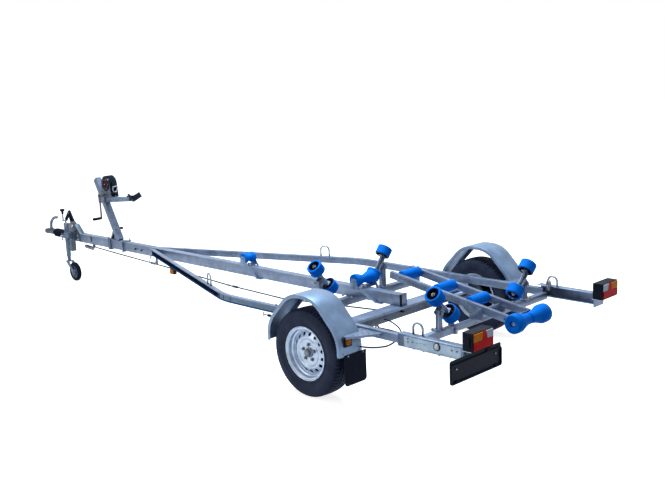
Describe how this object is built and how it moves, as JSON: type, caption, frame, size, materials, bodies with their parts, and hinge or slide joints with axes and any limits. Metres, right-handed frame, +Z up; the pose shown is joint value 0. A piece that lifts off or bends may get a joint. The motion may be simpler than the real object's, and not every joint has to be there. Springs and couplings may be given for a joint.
{
  "type": "boat trailer",
  "caption": "Galvanised single-axle boat trailer with keel beam, splayed side rails, rocking roller pairs, tilting roller ladder, winch post, overrun coupling and jockey wheel.",
  "frame": {"origin": "on the floor under the middle of the overall length and width", "axes": "+X forward along the keel beam to the coupling, +Y to the trailer's left, +Z up"},
  "size_m": [6.79, 2.2, 1.2036],
  "materials": {
    "galvanised": "hot-dip galvanised steel, mottled grey",
    "zinc": "bright zinc plated steel",
    "roller": "bright blue moulded roller",
    "tyre": "black road tyre",
    "wheel": "silver painted steel wheel",
    "black_rubber": "black rubber",
    "black_plastic": "black plastic",
    "amber": "amber lamp"
  },
  "bodies": {
    "chassis": {"axle": "galvanised", "axle_carrier": "galvanised", "beam_clamps": "galvanised", "bellows": "black_rubber", "bow_stop": "black_plastic", "brake_rod": "zinc", "front_crossmember": "galvanised", "front_posts": "galvanised", "guard_brackets": "galvanised", "handbrake_lever": "zinc", "keel_beam": "galvanised", "keel_roller_brackets": "galvanised", "lamp_housings": "black_plastic", "leads": "black_rubber", "light_arms": "galvanised", "marker_lamps": "amber", "mudflaps": "black_rubber", "mudguard_left": "galvanised", "mudguard_right": "galvanised", "overrun_housing": "zinc", "plate_holder": "black_plastic", "rear_crossmember": "galvanised", "rear_posts": "galvanised", "side_rail_left": "galvanised", "side_rail_right": "galvanised", "tie_down_loops": "galvanised", "winch_frame": "zinc", "winch_post": "galvanised"},
    "coupling": {"coupling_head": "zinc"},
    "wheel_left": {"tyre_left": "tyre", "wheel_left": "wheel"},
    "wheel_right": {"tyre_right": "tyre", "wheel_right": "wheel"},
    "rocker_front_left": {"rocker_front_left": "galvanised"},
    "roller_front_left_outer": {"roller_front_left_outer": "roller"},
    "roller_front_left_inner": {"roller_front_left_inner": "roller"},
    "rocker_front_right": {"rocker_front_right": "galvanised"},
    "roller_front_right_outer": {"roller_front_right_outer": "roller"},
    "roller_front_right_inner": {"roller_front_right_inner": "roller"},
    "rocker_rear_left": {"rocker_rear_left": "galvanised"},
    "roller_rear_left_outer": {"roller_rear_left_outer": "roller"},
    "roller_rear_left_inner": {"roller_rear_left_inner": "roller"},
    "rocker_rear_right": {"rocker_rear_right": "galvanised"},
    "roller_rear_right_outer": {"roller_rear_right_outer": "roller"},
    "roller_rear_right_inner": {"roller_rear_right_inner": "roller"},
    "front_keel_roller": {"front_keel_roller": "roller"},
    "saddle_roller": {"saddle_roller": "roller"},
    "ladder": {"ladder": "galvanised"},
    "ladder_roller_front": {"ladder_roller_front": "roller"},
    "ladder_roller_middle": {"ladder_roller_middle": "roller"},
    "ladder_roller_rear": {"ladder_roller_rear": "roller"},
    "bumper_rollers": {"bumper_rollers": "roller"},
    "winch_drum": {"winch_drum": "black_plastic"},
    "winch_crank": {"winch_crank": "zinc"},
    "jockey_tube": {"jockey_tube": "zinc"},
    "jockey_leg": {"jockey_leg": "zinc"},
    "jockey_fork": {"jockey_fork": "zinc"},
    "jockey_wheel": {"jockey_wheel": "tyre"}
  },
  "joints": [
    {"name": "overrun_slide", "type": "slide", "parent": "chassis", "child": "coupling", "axis": [-1, 0, 0], "range_m": [0, 0.06], "deforming": ["bellows"]},
    {"name": "wheel_left_spin", "type": "hinge", "parent": "chassis", "child": "wheel_left", "pos_m": [-2.08, 0.98, 0.318], "axis": [0, 1, 0], "continuous": true},
    {"name": "wheel_right_spin", "type": "hinge", "parent": "chassis", "child": "wheel_right", "pos_m": [-2.08, -0.98, 0.318], "axis": [0, 1, 0], "continuous": true},
    {"name": "rocker_front_left_tilt", "type": "hinge", "parent": "chassis", "child": "rocker_front_left", "pos_m": [-1.527, 0.368, 0.603], "axis": [1, 0, 0], "range_deg": [-20, 6]},
    {"name": "roller_front_left_outer_spin", "type": "hinge", "parent": "rocker_front_left", "child": "roller_front_left_outer", "pos_m": [-1.527, 0.39274, 0.72583], "axis": [0, 0.6428, 0.766], "continuous": true},
    {"name": "roller_front_left_inner_spin", "type": "hinge", "parent": "rocker_front_left", "child": "roller_front_left_inner", "pos_m": [-1.527, 0.25133, 0.5573], "axis": [0, 0.6428, 0.766], "continuous": true},
    {"name": "rocker_front_right_tilt", "type": "hinge", "parent": "chassis", "child": "rocker_front_right", "pos_m": [-1.527, -0.368, 0.603], "axis": [-1, 0, 0], "range_deg": [-20, 6]},
    {"name": "roller_front_right_outer_spin", "type": "hinge", "parent": "rocker_front_right", "child": "roller_front_right_outer", "pos_m": [-1.527, -0.39274, 0.72583], "axis": [0, -0.6428, 0.766], "continuous": true},
    {"name": "roller_front_right_inner_spin", "type": "hinge", "parent": "rocker_front_right", "child": "roller_front_right_inner", "pos_m": [-1.527, -0.25133, 0.5573], "axis": [0, -0.6428, 0.766], "continuous": true},
    {"name": "rocker_rear_left_tilt", "type": "hinge", "parent": "chassis", "child": "rocker_rear_left", "pos_m": [-2.83, 0.508, 0.612], "axis": [1, 0, 0], "range_deg": [-20, 6]},
    {"name": "roller_rear_left_outer_spin", "type": "hinge", "parent": "rocker_rear_left", "child": "roller_rear_left_outer", "pos_m": [-2.83, 0.54545, 0.73157], "axis": [0, 0.7193, 0.6947], "continuous": true},
    {"name": "roller_rear_left_inner_spin", "type": "hinge", "parent": "rocker_rear_left", "child": "roller_rear_left_inner", "pos_m": [-2.83, 0.38719, 0.57875], "axis": [0, 0.7193, 0.6947], "continuous": true},
    {"name": "rocker_rear_right_tilt", "type": "hinge", "parent": "chassis", "child": "rocker_rear_right", "pos_m": [-2.83, -0.508, 0.612], "axis": [-1, 0, 0], "range_deg": [-20, 6]},
    {"name": "roller_rear_right_outer_spin", "type": "hinge", "parent": "rocker_rear_right", "child": "roller_rear_right_outer", "pos_m": [-2.83, -0.54545, 0.73157], "axis": [0, -0.7193, 0.6947], "continuous": true},
    {"name": "roller_rear_right_inner_spin", "type": "hinge", "parent": "rocker_rear_right", "child": "roller_rear_right_inner", "pos_m": [-2.83, -0.38719, 0.57875], "axis": [0, -0.7193, 0.6947], "continuous": true},
    {"name": "front_keel_roller_spin", "type": "hinge", "parent": "chassis", "child": "front_keel_roller", "pos_m": [-0.237, 0, 0.59], "axis": [0, 1, 0], "continuous": true},
    {"name": "saddle_roller_spin", "type": "hinge", "parent": "chassis", "child": "saddle_roller", "pos_m": [-1.653, 0, 0.588], "axis": [0, 1, 0], "continuous": true},
    {"name": "ladder_tilt", "type": "hinge", "parent": "chassis", "child": "ladder", "pos_m": [-2.895, 0, 0.553], "axis": [0, 1, 0], "range_deg": [0, 8]},
    {"name": "ladder_roller_front_spin", "type": "hinge", "parent": "ladder", "child": "ladder_roller_front", "pos_m": [-2.14552, 0, 0.69127], "axis": [0, 1, 0], "continuous": true},
    {"name": "ladder_roller_middle_spin", "type": "hinge", "parent": "ladder", "child": "ladder_roller_middle", "pos_m": [-2.47898, 0, 0.63606], "axis": [0, 1, 0], "continuous": true},
    {"name": "ladder_roller_rear_spin", "type": "hinge", "parent": "ladder", "child": "ladder_roller_rear", "pos_m": [-2.77692, 0, 0.58674], "axis": [0, 1, 0], "continuous": true},
    {"name": "bumper_rollers_spin", "type": "hinge", "parent": "ladder", "child": "bumper_rollers", "pos_m": [-3.20575, 0, 0.5198], "axis": [0, 1, 0], "continuous": true},
    {"name": "winch_drum_spin", "type": "hinge", "parent": "chassis", "child": "winch_drum", "pos_m": [1.96711, 0, 1.11558], "axis": [0, 1, 0], "continuous": true},
    {"name": "winch_crank_spin", "type": "hinge", "parent": "chassis", "child": "winch_crank", "pos_m": [2.02045, 0, 0.99535], "axis": [0, 1, 0], "continuous": true},
    {"name": "jockey_clamp_slide", "type": "slide", "parent": "chassis", "child": "jockey_tube", "axis": [0, 0, 1], "range_m": [0, 0.14]},
    {"name": "jockey_screw_slide", "type": "slide", "parent": "jockey_tube", "child": "jockey_leg", "axis": [0, 0, 1], "range_m": [0, 0.045]},
    {"name": "jockey_swivel", "type": "hinge", "parent": "jockey_leg", "child": "jockey_fork", "pos_m": [2.766, 0.1, 0.216], "axis": [0, 0, 1], "continuous": true},
    {"name": "jockey_wheel_spin", "type": "hinge", "parent": "jockey_fork", "child": "jockey_wheel", "pos_m": [2.654, 0.1, 0.103], "axis": [0, 1, 0], "continuous": true}
  ]
}
